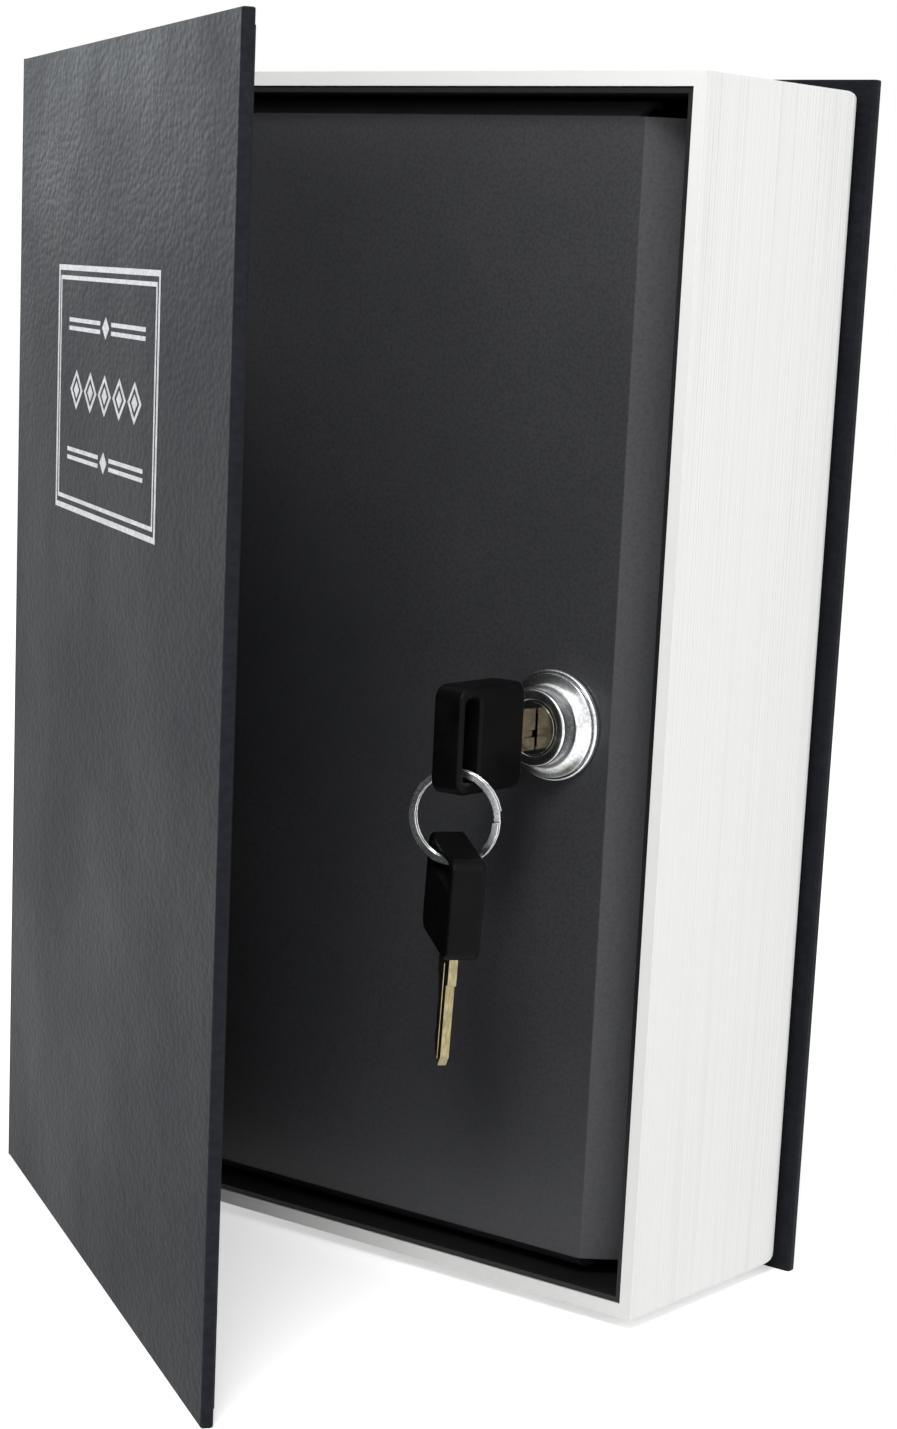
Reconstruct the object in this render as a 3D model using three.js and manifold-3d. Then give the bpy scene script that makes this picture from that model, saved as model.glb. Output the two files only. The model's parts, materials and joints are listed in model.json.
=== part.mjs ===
// A book-shaped safe: a hardcover case round a hollow page block, with a locked steel door inside.
// Millimetres, +Z up along the spine, +X from the spine to the fore-edge, -Y out of the front cover.
import * as THREE from 'three';
import { mergeVertices } from 'three/addons/utils/BufferGeometryUtils.js';
import Module from 'manifold-3d';

const wasm = await Module();
wasm.setup();

// Driving dimensions of the book
const bookHeight = 265;
const bookWidth = 200;
const bookThickness = 66;
const boardThickness = 2.6;
const square = 2.8;
const coverOpenAngle = THREE.MathUtils.degToRad(32.88);
const seatGap = 0.3;
const overrun = 1;

// Rounded spine, with a cloth joint beside each end of its curve
const clothThickness = 0.8;
const clothLeg = 1.4;
const clothSlack = 0.1;
const hingeInset = 10;
const hingeDepth = boardThickness / 2;
const boardSetback = 2.1;
const liningThickness = 0.5;

// Page block and steel tub
const pageWall = 3;
const pageFloor = 2;
const pageFillet = 3.5;
const tubSheet = 1;
const tubRecess = 0.4;
const keeperSheet = 1.2;
const keeperReach = 9.5;
const keeperFoot = 10;
const keeperHeight = 20;
const rivetRadius = 2.2;
const rivetHead = 1;
const rivetCrownShare = 0.7;
const rivetEndShare = 0.12;

// Door
const doorSheet = 1.5;
const doorRecess = 5.4;
const swingGap = 0.4;
const doorEndGap = 1;
const lockEdgeGap = 2.4;
const lockBevelWidth = 11;
const lockBevelDepth = 9.2;
const endBevelHeight = 3.2;
const endBevelDepth = 4.5;
const returnDepth = 4;
const hingeReturnDepth = 9;
const notchWidth = 9;

// Door pivots
const pivotRadius = 1.5;
const pivotClearance = 0.15;
const barrelWall = 0.75;
const barrelLength = 14;
const pinShortfall = 2.3;

// Cam lock
const lockInset = 14.5;
const lockHeight = 127.8;
const bezelRadius = 12;
const bezelThickness = 1.2;
const bezelChamfer = 0.6;
const collarRadius = 11.2;
const collarRise = 2.2;
const bossRadius = 8.3;
const bossChamfer = 0.7;
const bossProud = 8;
const bodyRadius = 9;
const bodyLength = 16.8;
const plugRadius = 5.6;
const plugClearance = 0.3;
const nutRadius = 12.5;
const nutThickness = 3;
const washerRadius = 11.5;
const washerThickness = 1;
const camThickness = 2;
const camWidth = 12;
const camReach = 24;
const camScrewRadius = 3.6;
const camScrewHead = 2.4;
const camScrewShank = 1.5;
const camScrewDepth = 5;
const tailHalf = 3.2;

// Keys
const keyHeadWidth = 22.5;
const keyHeadLength = 22;
const keyHeadThickness = 7.4;
const keyHeadCorner = 3;
const keyHeadEdge = 0.8;
const headPocket = 5;
const slotWidth = 5;
const slotLength = 17.4;
const slotCorner = 1.5;
const slotEndWall = 1.8;
const shankWidth = 9;
const shankLength = 7.6;
const bladeWidth = 6.6;
const bladeLength = 19;
const bladeThickness = 2;
const bladePoint = 2.4;
const bladeGroove = 0.7;
const keyCutDepthShare = 0.6;
const keyCutShares = [0.25, 0.6, 0.35, 0.7, 0.3];
const keywayClearance = 0.3;

// Split ring and spare key
const ringRadius = 9.45;
const ringWire = 0.75;
const ringCoil = 0.5;
const ringPitch = 0.95;
const ringTurns = 1.96;
const ringYaw = THREE.MathUtils.degToRad(15);
const ringDroop = 1.1;
const spareDroop = 2.2;
const spareYaw = THREE.MathUtils.degToRad(-39);
const spareLean = THREE.MathUtils.degToRad(8);
const spareShift = 3;

const round = 40;
const smallRound = 24;
const spineSteps = 20;
const weldTolerance = 1e-5;

function toSolid(geometry) {
  const bare = geometry.index ? geometry.clone() : geometry;
  bare.deleteAttribute('normal');
  bare.deleteAttribute('uv');
  const merged = mergeVertices(bare, weldTolerance);
  const data = { numProp: 3 };
  data.vertProperties = new Float32Array(merged.attributes.position.array);
  data.triVerts = new Uint32Array(merged.index.array);
  return new wasm.Manifold(new wasm.Mesh(data));
}

function toGeometry(solid) {
  const mesh = solid.getMesh();
  const geometry = new THREE.BufferGeometry();
  geometry.setAttribute('position', new THREE.BufferAttribute(mesh.vertProperties, 3));
  geometry.setIndex(new THREE.BufferAttribute(mesh.triVerts, 1));
  geometry.computeVertexNormals();
  return geometry;
}

function cut(base, ...tools) {
  return tools.reduce((solid, tool) => solid.subtract(toSolid(tool)), toSolid(base));
}

function fuse(...geometries) {
  return geometries.map(toSolid).reduce((whole, next) => whole.add(next));
}

function block(low, high) {
  const size = high.map((value, axis) => value - low[axis]);
  const geometry = new THREE.BoxGeometry(...size);
  geometry.translate(...low.map((value, axis) => value + size[axis] / 2));
  return geometry;
}

function shapeOf(points) {
  return new THREE.Shape(points.map(([a, b]) => new THREE.Vector2(a, b)));
}

function roundedShape(width, height, corner) {
  const [w, h] = [width / 2, height / 2];
  const shape = new THREE.Shape();
  shape.moveTo(-w + corner, -h);
  shape.lineTo(w - corner, -h);
  shape.absarc(w - corner, -h + corner, corner, -Math.PI / 2, 0);
  shape.lineTo(w, h - corner);
  shape.absarc(w - corner, h - corner, corner, 0, Math.PI / 2);
  shape.lineTo(-w + corner, h);
  shape.absarc(-w + corner, h - corner, corner, Math.PI / 2, Math.PI);
  shape.lineTo(-w, -h + corner);
  shape.absarc(-w + corner, -h + corner, corner, Math.PI, 1.5 * Math.PI);
  shape.closePath();
  return shape;
}

function extrudeUp(shape, from, to, curveSegments = 6) {
  const geometry = new THREE.ExtrudeGeometry(shape, { depth: to - from, bevelEnabled: false, curveSegments });
  return geometry.translate(0, 0, from);
}

// An outline drawn as [y, z], stood up so that its extrusion runs along X
function standAcross(geometry) {
  return geometry.applyMatrix4(new THREE.Matrix4().makeBasis(
    new THREE.Vector3(0, 1, 0), new THREE.Vector3(0, 0, 1), new THREE.Vector3(1, 0, 0)));
}

function extrudeAcross(points, from, to) {
  return standAcross(extrudeUp(shapeOf(points), from, to));
}

// A turned piece on an axis along Y: profile points are [radius, y], in either order
function turned(points, segments = round) {
  const profile = points.map(([radius, y]) => new THREE.Vector2(radius, y));
  const ordered = THREE.ShapeUtils.area(profile) > 0 ? profile : profile.reverse();
  return new THREE.LatheGeometry(ordered, segments);
}

function rod(radius, from, to, segments = round) {
  return turned([[0, from], [radius, from], [radius, to], [0, to]], segments);
}

function tube(outer, inner, from, to, segments = round) {
  const ends = [[inner, from], [outer, from], [outer, to], [inner, to], [inner, from]];
  return turned(ends, segments);
}

function finish(name, source, look) {
  const geometry = source.isBufferGeometry ? source : toGeometry(source);
  const mesh = new THREE.Mesh(geometry, new THREE.MeshStandardMaterial(look));
  mesh.name = name;
  return mesh;
}

// Looks read from the object
const leatherette = () => ({ color: 0x2b3038, roughness: 0.6, metalness: 0 });
const paper = () => ({ color: 0xefeee8, roughness: 0.7, metalness: 0 });
const lining = () => ({ color: 0x17181b, roughness: 0.85, metalness: 0 });
const blackPaint = () => ({ color: 0x1d1f22, roughness: 0.3, metalness: 0.4 });
const steel = () => ({ color: 0x8d9094, roughness: 0.4, metalness: 1 });
const chrome = () => ({ color: 0xd8dadd, roughness: 0.1, metalness: 1 });
const blackPlastic = () => ({ color: 0x121314, roughness: 0.4, metalness: 0 });
const brass = () => ({ color: 0xb9a15c, roughness: 0.3, metalness: 1 });

// Planes that the pieces share
const frontFace = -bookThickness / 2;
const backFace = bookThickness / 2;
const blockFront = frontFace + boardThickness;
const blockBack = backFace - boardThickness - seatGap;
const blockRight = bookWidth - square;
const hingeY = frontFace + hingeDepth;
const boardStart = hingeInset + boardSetback;
const blockLeft = hingeInset + hingeDepth + seatGap;
const spineHalf = -hingeY - clothLeg - seatGap;
const spineRise = hingeInset - hingeDepth;
const spineRadius = (spineHalf ** 2 + spineRise ** 2) / (2 * spineRise);

const tubLeft = blockLeft + pageWall + seatGap;
const tubRight = blockRight - pageWall - seatGap;
const tubBottom = square + pageWall + seatGap;
const tubTop = bookHeight - square - pageWall - seatGap;
const tubFront = blockFront + tubRecess;
const tubBack = blockBack - pageFloor - seatGap;

const doorFace = blockFront + doorRecess;
const barrelRadius = pivotRadius + pivotClearance + barrelWall;
const pivotDepth = doorSheet + seatGap + barrelRadius;
const doorSideGap = Math.hypot(barrelRadius, pivotDepth) - barrelRadius + swingGap;
const doorLeft = tubLeft + tubSheet + doorSideGap;
const doorRight = tubRight - tubSheet - lockEdgeGap;
const doorBottom = tubBottom + tubSheet + doorEndGap;
const doorTop = tubTop - tubSheet - doorEndGap;
const faceRight = doorRight - lockBevelWidth;
const faceBottom = doorBottom + endBevelHeight;
const faceTop = doorTop - endBevelHeight;
const pivotX = doorLeft + barrelRadius;
const pivotY = doorFace + pivotDepth;
const lockX = faceRight - lockInset;
const bossFront = doorFace - bossProud;
const bodyBack = doorFace + bodyLength;
const camFront = bodyBack + seatGap;
const slotMiddle = shankLength + keyHeadLength - slotEndWall - slotWidth / 2;

// A cloth joint: a bead round the hinge line, with a leg to the spine and a tongue to a board that
// stands open by an angle
function clothCorner(swing, side) {
  const steps = 8;
  const inside = hingeDepth - clothThickness;
  const angles = Array.from({ length: steps + 1 }, (_, i) => Math.PI + (i / steps) * (Math.PI / 2 - swing));
  const arc = (radius) => angles.map((angle) => [radius * Math.cos(angle), radius * Math.sin(angle)]);
  const reach = Math.sqrt(boardSetback ** 2 - hingeDepth ** 2) - clothSlack;
  const along = ([x, y]) => [x + reach * Math.cos(swing), y - reach * Math.sin(swing)];
  const [outer, inner] = [arc(hingeDepth), arc(inside)];
  const points = [
    [-hingeDepth, clothLeg], ...outer, along(outer[steps]), along(inner[steps]), ...inner.reverse(),
    [-inside, clothLeg],
  ];
  const ordered = side > 0 ? points : points.map(([x, y]) => [x, -y]);
  return extrudeUp(shapeOf(ordered), 0, bookHeight);
}

// The spine shell: an arc of board that bulges out between the two joints
function makeSpine() {
  const half = Math.asin(spineHalf / spineRadius);
  const shape = new THREE.Shape();
  shape.absarc(spineRadius, 0, spineRadius, Math.PI - half, Math.PI + half);
  shape.absarc(spineRadius, 0, spineRadius - boardThickness, Math.PI + half, Math.PI - half, true);
  shape.closePath();
  return extrudeUp(shape, 0, bookHeight, spineSteps);
}

function makeCase() {
  const group = new THREE.Group();
  const back = block([boardStart, backFace - boardThickness, 0], [bookWidth, backFace, bookHeight]);
  group.add(finish('back_cover_board', back, leatherette()));
  group.add(finish('spine_board', makeSpine(), leatherette()));
  const backJoint = finish('back_joint_cloth', clothCorner(0, -1), leatherette());
  backJoint.position.set(hingeInset, -hingeY, 0);
  group.add(backJoint);
  return group;
}

// The page block: a moulded tray, open at the front, its back edge rounded all round
function makePageBlock() {
  const steps = 5;
  const bottom = square;
  const top = bookHeight - square;
  const rings = [];
  const addRing = (y, inset) => rings.push([
    [blockLeft + inset, y, bottom + inset], [blockRight - inset, y, bottom + inset],
    [blockRight - inset, y, top - inset], [blockLeft + inset, y, top - inset],
  ]);
  addRing(blockFront, 0);
  for (let i = 0; i <= steps; i += 1) {
    const angle = (i / steps) * (Math.PI / 2);
    addRing(blockBack - pageFillet * (1 - Math.sin(angle)), pageFillet * (1 - Math.cos(angle)));
  }
  const positions = rings.flat(2);
  const index = [];
  const last = (rings.length - 1) * 4;
  index.push(0, 1, 2, 0, 2, 3, last, last + 2, last + 1, last, last + 3, last + 2);
  for (let r = 0; r < rings.length - 1; r += 1) {
    for (let k = 0; k < 4; k += 1) {
      const a = r * 4 + k;
      const b = r * 4 + ((k + 1) % 4);
      index.push(a, a + 4, b + 4, a, b + 4, b);
    }
  }
  const outer = new THREE.BufferGeometry();
  outer.setAttribute('position', new THREE.Float32BufferAttribute(positions, 3));
  outer.setIndex(index);
  const cavity = block(
    [tubLeft - seatGap, blockFront - overrun, tubBottom - seatGap],
    [tubRight + seatGap, blockBack - pageFloor, tubTop + seatGap]);
  const holes = rivetPlaces().map(([x, z]) => {
    const hole = rod(rivetRadius / 2 + seatGap, blockBack - pageFloor - overrun, blockBack + overrun, smallRound);
    return hole.translate(x, 0, z);
  });
  return finish('page_block', cut(outer, cavity, ...holes), paper());
}

function rivetPlaces() {
  const insetX = (tubRight - tubLeft) * rivetEndShare;
  const insetZ = (tubTop - tubBottom) * rivetEndShare;
  return [tubLeft + insetX, tubRight - insetX].flatMap(
    (x) => [tubBottom + insetZ, tubTop - insetZ].map((z) => [x, z]));
}

// The steel tub: a folded sheet box with pivot holes and rivet holes
function makeTub() {
  const outer = block([tubLeft, tubFront, tubBottom], [tubRight, tubBack, tubTop]);
  const inside = block(
    [tubLeft + tubSheet, tubFront - overrun, tubBottom + tubSheet],
    [tubRight - tubSheet, tubBack - tubSheet, tubTop - tubSheet]);
  const pivots = new THREE.CylinderGeometry(
    pivotRadius + seatGap, pivotRadius + seatGap, bookHeight, smallRound);
  pivots.rotateX(Math.PI / 2).translate(pivotX, pivotY, bookHeight / 2);
  const holes = rivetPlaces().map(([x, z]) => {
    const hole = rod(rivetRadius / 2 + seatGap, tubBack - tubSheet - overrun, tubBack + overrun, smallRound);
    return hole.translate(x, 0, z);
  });
  return finish('steel_tub', cut(outer, inside, pivots, ...holes), blackPaint());
}

// Rivets through the tub's floor and the page block's floor, with a head on the tub's side
function makeRivets() {
  const group = new THREE.Group();
  rivetPlaces().forEach(([x, z], i) => {
    const seat = tubBack - tubSheet - seatGap;
    const profile = [
      [0, seat - rivetHead], [rivetRadius * rivetCrownShare, seat - rivetHead], [rivetRadius, seat - rivetHead / 2],
      [rivetRadius, seat], [rivetRadius / 2, seat], [rivetRadius / 2, blockBack], [0, blockBack],
    ];
    const rivet = finish(`tub_rivet_${i + 1}`, toSolid(turned(profile, smallRound)), steel());
    rivet.position.set(x, 0, z);
    group.add(rivet);
  });
  return group;
}

// The keeper: an angle welded inside the tub, which the cam swings behind
function makeKeeper() {
  const wall = tubRight - tubSheet - seatGap;
  const face = camFront - seatGap - keeperSheet;
  const low = lockHeight - keeperHeight / 2;
  const profile = [
    [wall, face], [wall, face + keeperFoot], [wall - keeperSheet, face + keeperFoot],
    [wall - keeperSheet, face + keeperSheet], [wall - keeperReach, face + keeperSheet],
    [wall - keeperReach, face],
  ];
  return finish('cam_keeper', extrudeUp(shapeOf(profile), low, low + keeperHeight), steel());
}

function makePivotPin(name, sign) {
  const wallInside = sign > 0 ? tubTop - tubSheet : tubBottom + tubSheet;
  const outerEnd = wallInside + sign * tubSheet;
  const innerEnd = wallInside - sign * (doorEndGap + barrelLength - pinShortfall);
  const pin = new THREE.CylinderGeometry(
    pivotRadius, pivotRadius, Math.abs(outerEnd - innerEnd), smallRound);
  pin.rotateX(Math.PI / 2).translate(pivotX, pivotY, (outerEnd + innerEnd) / 2);
  return finish(name, pin, steel());
}

function makeDoorPanel() {
  const [t, f] = [doorSheet, doorFace];
  const bevelBack = f + lockBevelDepth;
  const lockEnd = bevelBack + returnDepth;
  const plan = [
    [doorLeft, f], [faceRight, f], [doorRight, bevelBack], [doorRight, lockEnd],
    [doorRight - t, lockEnd], [doorRight - t, bevelBack + t / 2], [faceRight - t / 2, f + t],
    [doorLeft + t, f + t], [doorLeft + t, f + hingeReturnDepth], [doorLeft, f + hingeReturnDepth],
  ];
  const panel = extrudeUp(shapeOf(plan), faceBottom, faceTop);
  const flap = (sign) => {
    const face = sign > 0 ? faceTop : faceBottom;
    const edge = sign > 0 ? doorTop : doorBottom;
    const back = f + endBevelDepth;
    const points = [
      [f, face - sign * t / 2], [f, face], [back, edge], [back + returnDepth, edge],
      [back + returnDepth, edge - sign * t], [back + t / 2, edge - sign * t], [f + t, face - sign * t / 2],
    ];
    return extrudeAcross(points, doorLeft + notchWidth, faceRight - t);
  };
  const bore = rod(bodyRadius + seatGap, f - overrun, f + t + overrun).translate(lockX, 0, lockHeight);
  const notches = [doorBottom, doorTop - barrelLength].map((low) => block(
    [doorLeft - overrun, f + t, low - seatGap],
    [doorLeft + t + overrun, f + hingeReturnDepth + overrun, low + barrelLength + seatGap]));
  const cuts = [bore, ...notches].map(toSolid);
  const whole = cuts.reduce((solid, tool) => solid.subtract(tool), fuse(panel, flap(1), flap(-1)));
  return finish('door_panel', whole, blackPaint());
}

function makeBarrel(name, sign) {
  const sleeve = tube(barrelRadius, pivotRadius + pivotClearance, 0, barrelLength, smallRound);
  const low = sign > 0 ? doorTop - barrelLength : doorBottom;
  sleeve.rotateX(Math.PI / 2).translate(pivotX, pivotY, low);
  return finish(name, toSolid(sleeve), steel());
}

// Lock pieces are turned about the lock's axis, in a frame that stands at the lock's centre
function makeLock() {
  const group = new THREE.Group();
  group.position.set(lockX, 0, lockHeight);
  const seat = doorFace - seatGap;
  const bezel = turned([
    [bodyRadius + seatGap, seat], [bezelRadius, seat], [bezelRadius, seat - bezelThickness + bezelChamfer],
    [bezelRadius - bezelChamfer, seat - bezelThickness], [bodyRadius + seatGap, seat - bezelThickness],
    [bodyRadius + seatGap, seat],
  ]);
  group.add(finish('lock_bezel', toSolid(bezel), chrome()));
  const collar = seat - bezelThickness - seatGap;
  const bore = plugRadius + plugClearance;
  const body = turned([
    [bore, bossFront], [bossRadius - bossChamfer, bossFront], [bossRadius, bossFront + bossChamfer],
    [bossRadius, collar - collarRise], [collarRadius, collar - seatGap], [collarRadius, collar],
    [bodyRadius, collar], [bodyRadius, bodyBack], [bore, bodyBack], [bore, bossFront],
  ]);
  group.add(finish('lock_body', toSolid(body), chrome()));
  const washerFront = doorFace + doorSheet + seatGap;
  const washer = tube(washerRadius, bodyRadius + seatGap, washerFront, washerFront + washerThickness);
  group.add(finish('lock_washer', toSolid(washer), steel()));
  const nutFront = washerFront + washerThickness + seatGap;
  const nut = rod(nutRadius, nutFront, nutFront + nutThickness, 6);
  const nutBore = rod(bodyRadius + seatGap, nutFront - overrun, nutFront + nutThickness + overrun);
  group.add(finish('lock_nut', cut(nut, nutBore), steel()));
  return group;
}

function makePlug() {
  const group = new THREE.Group();
  group.position.set(lockX, 0, lockHeight);
  const barrel = rod(plugRadius, bossFront, bodyBack);
  const tail = block([-tailHalf, bodyBack - overrun, -tailHalf], [tailHalf, camFront + camThickness, tailHalf]);
  const keywayHalf = [bladeThickness / 2 + keywayClearance, bladeWidth / 2 + keywayClearance];
  const keyway = block(
    [-keywayHalf[0], bossFront - overrun, -keywayHalf[1]],
    [keywayHalf[0], bossFront + bladeLength + overrun, keywayHalf[1]]);
  const tailEnd = camFront + camThickness;
  const screwHole = rod(camScrewShank + seatGap, tailEnd - camScrewDepth - seatGap, tailEnd + overrun, smallRound);
  const plug = fuse(barrel, tail).subtract(toSolid(keyway)).subtract(toSolid(screwHole));
  group.add(finish('lock_plug', plug, chrome()));
  group.add(finish('lock_cam', makeCam(), steel()));
  const headSeat = tailEnd + seatGap;
  const screw = turned([
    [0, tailEnd - camScrewDepth], [camScrewShank, tailEnd - camScrewDepth], [camScrewShank, headSeat],
    [camScrewRadius, headSeat], [camScrewRadius, headSeat + camScrewHead / 2],
    [camScrewRadius / 2, headSeat + camScrewHead], [0, headSeat + camScrewHead],
  ], smallRound);
  group.add(finish('cam_screw', toSolid(screw), steel()));
  return group;
}

// The cam hangs down when unlocked and turns up to its right, behind the keeper, when locked
function makeCam() {
  const half = camWidth / 2;
  const shape = new THREE.Shape();
  shape.absarc(0, 0, half + tailHalf / 2, 0, Math.PI);
  shape.lineTo(-half, -camReach + half);
  shape.absarc(0, -camReach + half, half, Math.PI, 2 * Math.PI);
  shape.closePath();
  const plate = extrudeUp(shape, 0, camThickness, 8).rotateX(Math.PI / 2);
  plate.translate(0, camFront + camThickness, 0);
  const hole = tailHalf + seatGap;
  const squareHole = block([-hole, camFront - overrun, -hole], [hole, camFront + camThickness + overrun, hole]);
  return cut(plate, squareHole);
}

// A key lies along Y: its blade goes in towards +Y from the shoulder at zero, its head stands out
function makeKeyHead(name) {
  const edge = keyHeadEdge;
  const shape = roundedShape(keyHeadLength - 2 * edge, keyHeadWidth - 2 * edge, keyHeadCorner - edge);
  const slot = roundedShape(slotWidth + 2 * edge, slotLength + 2 * edge, slotCorner + edge);
  const slotPlace = keyHeadLength / 2 - slotEndWall - slotWidth / 2;
  const path = new THREE.Path(slot.getPoints(4).map((p) => new THREE.Vector2(p.x - slotPlace, p.y)));
  shape.holes.push(path);
  const geometry = new THREE.ExtrudeGeometry(shape, {
    depth: keyHeadThickness - 2 * edge, bevelEnabled: true, bevelThickness: edge, bevelSize: edge,
    bevelSegments: 2, curveSegments: 5,
  });
  geometry.translate(0, 0, edge - keyHeadThickness / 2);
  standAcross(geometry).translate(0, -shankLength - keyHeadLength / 2, 0);
  const pocketHalf = [bladeThickness / 2 + seatGap, shankWidth / 2 + seatGap];
  const pocket = block(
    [-pocketHalf[0], -shankLength - headPocket - seatGap, -pocketHalf[1]],
    [pocketHalf[0], -shankLength + overrun, pocketHalf[1]]);
  return finish(name, cut(geometry, pocket), blackPlastic());
}

function makeKeyBlade(name) {
  const half = bladeWidth / 2;
  const depth = half * keyCutDepthShare;
  const step = (bladeLength - bladePoint) / (keyCutShares.length + 1);
  const cuts = keyCutShares.map((share, i) => [step * (i + 1), half - depth * share]);
  const upper = [[0, half], [step / 2, half], ...cuts, [bladeLength - bladePoint, half / 2]];
  const lower = [[bladeLength - bladePoint, -half], [0, -half]];
  const shank = shankWidth / 2;
  const points = [
    [-shankLength - headPocket, -shank], [-shankLength - headPocket, shank], [0, shank],
    ...upper, [bladeLength, -half / 2], ...lower, [0, -shank],
  ];
  const blank = extrudeAcross(points, -bladeThickness / 2, bladeThickness / 2);
  const groove = (side) => {
    const inner = side * (bladeThickness / 2 - bladeGroove / 2);
    const outer = side * (bladeThickness / 2 + overrun);
    return block(
      [Math.min(inner, outer), -shankLength / 2, -half / 2],
      [Math.max(inner, outer), bladeLength + overrun, -half / 2 + bladeGroove * 2]);
  };
  return finish(name, cut(blank, groove(1), groove(-1)), brass());
}

function makeKey() {
  const group = new THREE.Group();
  group.position.set(lockX, bossFront - seatGap, lockHeight);
  group.add(makeKeyHead('key_head'), makeKeyBlade('key_blade'));
  return group;
}

// The split ring: one flat wire wound twice, hung by its top from the frame's origin
function makeSplitRing() {
  const stepsPerTurn = 28;
  const steps = Math.round(ringTurns * stepsPerTurn);
  const corners = [[-1, -1], [1, -1], [1, 1], [-1, 1]];
  const positions = [];
  const middles = [];
  for (let i = 0; i <= steps; i += 1) {
    const angle = (i / stepsPerTurn) * 2 * Math.PI + Math.PI / 2;
    const offset = (i / stepsPerTurn - ringTurns / 2) * ringPitch;
    middles.push(new THREE.Vector3(ringRadius * Math.sin(angle), offset, ringRadius * Math.cos(angle)));
    corners.forEach(([across, along]) => {
      const radius = ringRadius + across * ringWire;
      positions.push(
        radius * Math.sin(angle), offset + along * ringCoil / 2, radius * Math.cos(angle) - ringRadius);
    });
  }
  const index = [0, 1, 2, 0, 2, 3];
  for (let i = 0; i < steps; i += 1) {
    for (let k = 0; k < 4; k += 1) {
      const a = i * 4 + k;
      const b = i * 4 + ((k + 1) % 4);
      index.push(a, a + 4, b + 4, a, b + 4, b);
    }
  }
  const last = steps * 4;
  index.push(last, last + 2, last + 1, last, last + 3, last + 2);
  const geometry = new THREE.BufferGeometry();
  geometry.setAttribute('position', new THREE.Float32BufferAttribute(positions, 3));
  geometry.setIndex(index);
  const gaps = middles.slice(stepsPerTurn).map((point, i) => point.distanceTo(middles[i]) - ringCoil);
  console.log(`split ring, least gap between its turns: ${Math.min(...gaps).toFixed(2)} mm`);
  return finish('split_ring', geometry, chrome());
}

function makeKeyring() {
  const group = new THREE.Group();
  const hang = -slotLength / 2 + ringWire + ringDroop;
  group.position.set(lockX, bossFront - seatGap - slotMiddle, lockHeight + hang);
  group.rotation.z = ringYaw;
  group.add(makeSplitRing());
  const spare = new THREE.Group();
  spare.position.set(0, 0, -2 * ringRadius);
  spare.rotation.set(0, 0, spareYaw - ringYaw);
  const lean = new THREE.Group();
  lean.rotation.y = spareLean;
  const key = new THREE.Group();
  key.rotation.set(-Math.PI / 2, 0, Math.PI / 2, 'ZXY');
  key.position.set(spareShift, 0, ringWire + spareDroop - slotWidth / 2 - slotMiddle);
  key.add(makeKeyHead('spare_key_head'), makeKeyBlade('spare_key_blade'));
  lean.add(key);
  spare.add(lean);
  group.add(spare);
  return group;
}

function makeCover() {
  const group = new THREE.Group();
  group.position.set(hingeInset, hingeY, 0);
  group.rotation.z = -coverOpenAngle;
  const outside = -hingeDepth;
  const inside = outside + boardThickness;
  const edge = bookWidth - hingeInset;
  const board = block([boardSetback, outside, 0], [edge, inside, bookHeight]);
  group.add(finish('front_cover_board', board, leatherette()));
  const sheet = block(
    [boardSetback + square, inside + seatGap, square],
    [edge - square, inside + seatGap + liningThickness, bookHeight - square]);
  group.add(finish('front_cover_lining', sheet, lining()));
  return group;
}

const safe = new THREE.Group();
const frontJoint = finish('front_joint_cloth', clothCorner(coverOpenAngle, 1), leatherette());
frontJoint.position.set(hingeInset, hingeY, 0);
safe.add(
  makeCase(), frontJoint, makePageBlock(), makeTub(), makeRivets(), makeKeeper(),
  makePivotPin('upper_pivot_pin', 1), makePivotPin('lower_pivot_pin', -1), makeDoorPanel(),
  makeBarrel('upper_hinge_barrel', 1), makeBarrel('lower_hinge_barrel', -1),
  makeLock(), makePlug(), makeKey(), makeKeyring(), makeCover());

// The origin is the middle of the footprint of the whole object, at the surface it stands on
const reach = new THREE.Box3().setFromObject(safe, true);
const middle = reach.getCenter(new THREE.Vector3());
safe.position.set(-middle.x, -middle.y, -reach.min.z);
safe.updateMatrixWorld(true);

export default safe;
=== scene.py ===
# A book-shaped safe that stands half open, dressed round its CAD frame. Metres, +Z up the spine.
import json
import math

import bmesh
import bpy
from mathutils import Matrix, Vector


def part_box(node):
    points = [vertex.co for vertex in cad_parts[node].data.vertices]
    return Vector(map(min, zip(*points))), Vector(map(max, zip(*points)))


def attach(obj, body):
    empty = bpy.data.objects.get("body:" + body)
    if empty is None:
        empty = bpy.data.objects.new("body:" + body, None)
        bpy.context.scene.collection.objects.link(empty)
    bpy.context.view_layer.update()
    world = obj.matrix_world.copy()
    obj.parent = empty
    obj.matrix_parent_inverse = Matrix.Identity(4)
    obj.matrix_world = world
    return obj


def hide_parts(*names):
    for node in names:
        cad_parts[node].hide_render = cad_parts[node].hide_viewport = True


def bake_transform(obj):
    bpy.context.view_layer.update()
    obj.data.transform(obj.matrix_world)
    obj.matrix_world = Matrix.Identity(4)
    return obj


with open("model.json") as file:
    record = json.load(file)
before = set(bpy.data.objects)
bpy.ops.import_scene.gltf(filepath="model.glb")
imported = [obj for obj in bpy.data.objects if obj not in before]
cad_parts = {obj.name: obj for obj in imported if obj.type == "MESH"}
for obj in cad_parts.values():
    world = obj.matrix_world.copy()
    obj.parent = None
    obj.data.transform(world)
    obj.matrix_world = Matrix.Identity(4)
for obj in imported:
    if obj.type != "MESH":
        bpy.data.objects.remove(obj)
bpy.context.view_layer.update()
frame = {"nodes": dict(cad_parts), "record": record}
nodes = frame["nodes"]
mm = 0.001
mergeDistance = 1e-6
sameDistance = 1e-5     # points closer than this along an axis count as level
flatAngle = 0.5         # degrees, under which faces of a copied solid are joined
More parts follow.
